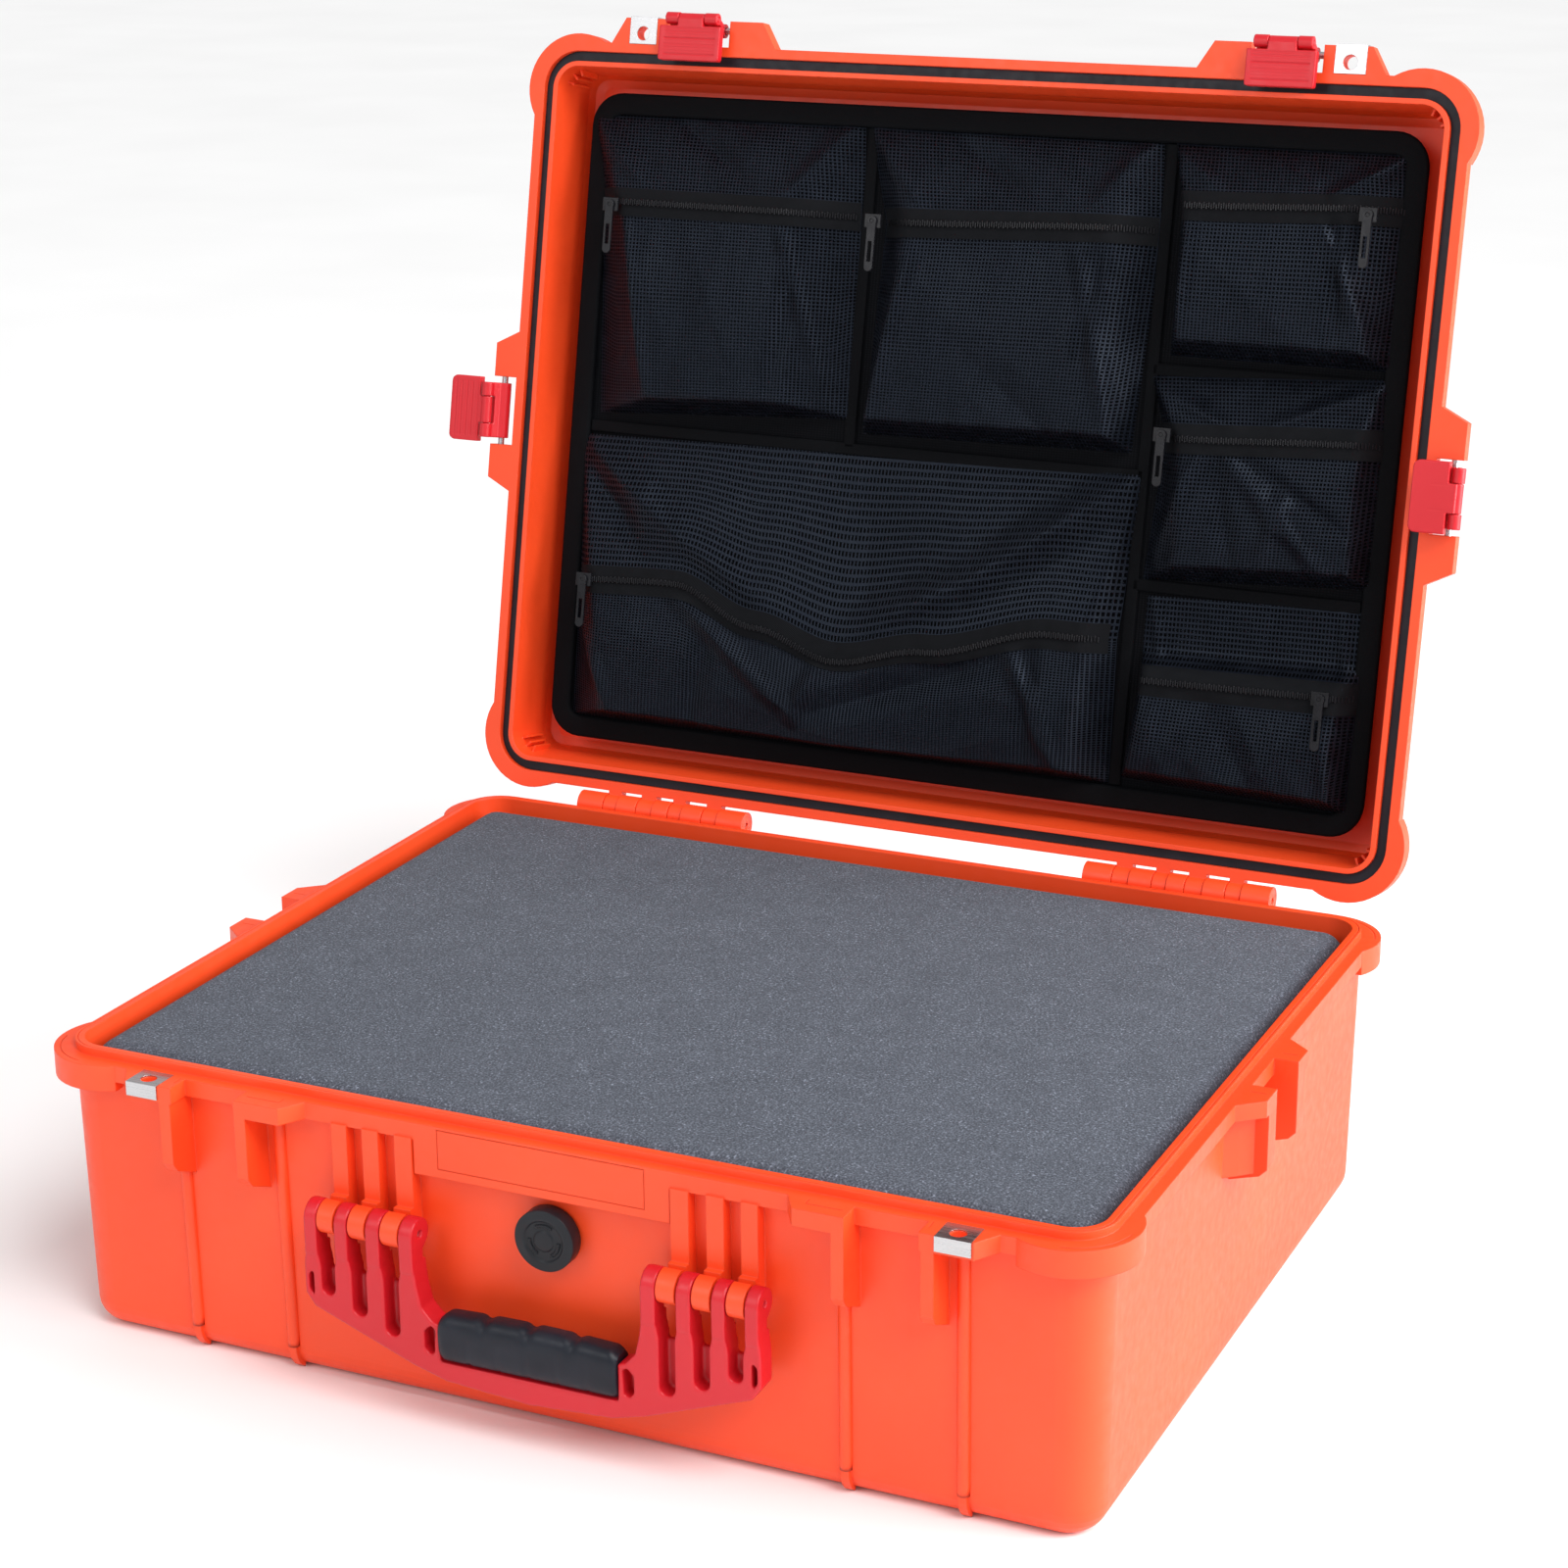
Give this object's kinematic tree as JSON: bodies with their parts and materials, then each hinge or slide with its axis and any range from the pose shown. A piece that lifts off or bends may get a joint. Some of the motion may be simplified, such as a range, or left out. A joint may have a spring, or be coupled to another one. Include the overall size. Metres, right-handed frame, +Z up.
{
  "type": "hard equipment case",
  "caption": "Rugged moulded equipment case, lid open, with foam-filled base, zipped mesh organizer in the lid, latches, carrying handle and pressure valve.",
  "frame": {"origin": "centre of the underside of the base, on the surface the case stands on", "axes": "+Z up, -Y the front with the handle, +X the right side seen from the front"},
  "size_m": [0.6386, 0.6245, 0.6309],
  "materials": {
    "orange_shell": "fine moulded grain, satin",
    "red_parts": "fine moulded grain, satin",
    "foam": "open cell foam, matt and speckled",
    "valve_black": "satin",
    "gasket_rubber": "smooth, soft sheen",
    "grip_rubber": "moulded, soft sheen",
    "steel": "brushed",
    "organizer_cloth": "woven nylon",
    "organizer_edge": "brushed fabric over foam board",
    "mesh_cloth": "coated open mesh",
    "zip_tape": "twill tape",
    "zip_black": "black, satin"
  },
  "bodies": {
    "base": {"base_shell": "orange_shell", "foam_upper": "foam", "foam_lower": "foam", "foam_base_pad": "foam", "valve_body": "valve_black", "valve_cap": "valve_black", "valve_seal": "valve_black", "valve_nut": "valve_black", "nameplate": "orange_shell", "padlock_plates_base": "steel", "hinge_pins": "steel", "handle_pins": "steel"},
    "handle": {"handle_frame": "red_parts", "handle_grip": "grip_rubber"},
    "lid": {"lid_shell": "orange_shell", "lid_gasket": "gasket_rubber", "padlock_plates_lid": "steel", "latch_pins": "steel", "organizer_panel": "organizer_cloth", "organizer_border": "organizer_edge", "organizer_dividers": "organizer_cloth", "pocket_top_left": "mesh_cloth", "pocket_top_middle": "mesh_cloth", "pocket_top_right": "mesh_cloth", "pocket_right_middle": "mesh_cloth", "pocket_right_low": "mesh_cloth", "pocket_large": "mesh_cloth", "zip_tapes": "zip_tape", "zip_coils": "zip_black"},
    "clip_front_left": {"clip_front_left": "red_parts"},
    "lever_front_left": {"lever_front_left": "red_parts"},
    "clip_front_right": {"clip_front_right": "red_parts"},
    "lever_front_right": {"lever_front_right": "red_parts"},
    "clip_side_left": {"clip_side_left": "red_parts"},
    "lever_side_left": {"lever_side_left": "red_parts"},
    "clip_side_right": {"clip_side_right": "red_parts"},
    "lever_side_right": {"lever_side_right": "red_parts"},
    "slider_top_left": {"slider_top_left": "zip_black"},
    "pull_top_left": {"pull_top_left": "zip_black"},
    "slider_top_middle": {"slider_top_middle": "zip_black"},
    "pull_top_middle": {"pull_top_middle": "zip_black"},
    "slider_top_right": {"slider_top_right": "zip_black"},
    "pull_top_right": {"pull_top_right": "zip_black"},
    "slider_right_middle": {"slider_right_middle": "zip_black"},
    "pull_right_middle": {"pull_right_middle": "zip_black"},
    "slider_right_low": {"slider_right_low": "zip_black"},
    "pull_right_low": {"pull_right_low": "zip_black"},
    "slider_large": {"slider_large": "zip_black"},
    "pull_large": {"pull_large": "zip_black"}
  },
  "joints": [
    {"name": "lid_hinge", "type": "hinge", "parent": "base", "child": "lid", "pos_m": [0, 0.237, 0.1567], "axis": [1, 0, 0], "range_deg": [0, 102]},
    {"name": "handle_swing", "type": "hinge", "parent": "base", "child": "handle", "pos_m": [0, -0.237, 0.102], "axis": [-1, 0, 0], "range_deg": [0, 95]},
    {"name": "clip_front_left_swing", "type": "hinge", "parent": "lid", "child": "clip_front_left", "pos_m": [-0.1825, 0.33927, 0.61955], "axis": [-1, 0, 0], "range_deg": [0, 70]},
    {"name": "lever_front_left_swing", "type": "hinge", "parent": "clip_front_left", "child": "lever_front_left", "pos_m": [-0.1825, 0.32916, 0.62732], "axis": [-1, 0, 0], "range_deg": [0, 102]},
    {"name": "clip_front_right_swing", "type": "hinge", "parent": "lid", "child": "clip_front_right", "pos_m": [0.1825, 0.33927, 0.61955], "axis": [-1, 0, 0], "range_deg": [0, 70]},
    {"name": "lever_front_right_swing", "type": "hinge", "parent": "clip_front_right", "child": "lever_front_right", "pos_m": [0.1825, 0.32916, 0.62732], "axis": [-1, 0, 0], "range_deg": [0, 102]},
    {"name": "clip_side_left_swing", "type": "hinge", "parent": "lid", "child": "clip_side_left", "pos_m": [-0.2995, 0.28999, 0.38773], "axis": [0, -0.2079, -0.9781], "range_deg": [0, 70]},
    {"name": "lever_side_left_swing", "type": "hinge", "parent": "clip_side_left", "child": "lever_side_left", "pos_m": [-0.305, 0.27874, 0.39012], "axis": [0, 0.2079, 0.9781], "range_deg": [0, 85]},
    {"name": "clip_side_right_swing", "type": "hinge", "parent": "lid", "child": "clip_side_right", "pos_m": [0.2995, 0.28999, 0.38773], "axis": [0, 0.2079, 0.9781], "range_deg": [0, 70]},
    {"name": "lever_side_right_swing", "type": "hinge", "parent": "clip_side_right", "child": "lever_side_right", "pos_m": [0.305, 0.27874, 0.39012], "axis": [0, 0.2079, 0.9781], "range_deg": [0, 102]},
    {"name": "zip_top_left_slide", "type": "slide", "parent": "lid", "child": "slider_top_left", "axis": [1, 0, 0], "range_m": [0, 0.1425]},
    {"name": "pull_top_left_swing", "type": "hinge", "parent": "slider_top_left", "child": "pull_top_left", "pos_m": [-0.236, 0.3177, 0.51567], "axis": [0, 0.9781, -0.2079], "range_deg": [-70, 70]},
    {"name": "zip_top_middle_slide", "type": "slide", "parent": "lid", "child": "slider_top_middle", "axis": [1, 0, 0], "range_m": [0, 0.158]},
    {"name": "pull_top_middle_swing", "type": "hinge", "parent": "slider_top_middle", "child": "pull_top_middle", "pos_m": [-0.0615, 0.3177, 0.51567], "axis": [0, 0.9781, -0.2079], "range_deg": [-70, 70]},
    {"name": "zip_top_right_slide", "type": "slide", "parent": "lid", "child": "slider_top_right", "axis": [-1, 0, 0], "range_m": [0, 0.1075]},
    {"name": "pull_top_right_swing", "type": "hinge", "parent": "slider_top_right", "child": "pull_top_right", "pos_m": [0.236, 0.32197, 0.53579], "axis": [0, 0.9781, -0.2079], "range_deg": [-70, 70]},
    {"name": "zip_right_middle_slide", "type": "slide", "parent": "lid", "child": "slider_right_middle", "axis": [1, 0, 0], "range_m": [0, 0.1075]},
    {"name": "pull_right_middle_swing", "type": "hinge", "parent": "slider_right_middle", "child": "pull_right_middle", "pos_m": [0.1285, 0.29476, 0.40775], "axis": [0, 0.9781, -0.2079], "range_deg": [-70, 70]},
    {"name": "zip_right_low_slide", "type": "slide", "parent": "lid", "child": "slider_right_low", "axis": [-1, 0, 0], "range_m": [0, 0.1075]},
    {"name": "pull_right_low_swing", "type": "hinge", "parent": "slider_right_low", "child": "pull_right_low", "pos_m": [0.236, 0.2656, 0.27056], "axis": [0, 0.9781, -0.2079], "range_deg": [-70, 70]},
    {"name": "zip_large_slide", "type": "slide", "parent": "lid", "child": "slider_large", "axis": [1, 0, 0], "range_m": [0, 0.3325]},
    {"name": "pull_large_swing", "type": "hinge", "parent": "slider_large", "child": "pull_large", "pos_m": [-0.236, 0.26987, 0.29068], "axis": [0, 0.9781, -0.2079], "range_deg": [-70, 70]}
  ],
  "couplings": [
    {"joint": "lever_front_left_swing", "follows": "lid_hinge", "ratio": 1},
    {"joint": "lever_front_right_swing", "follows": "lid_hinge", "ratio": 1},
    {"joint": "lever_side_right_swing", "follows": "lid_hinge", "ratio": 1}
  ]
}
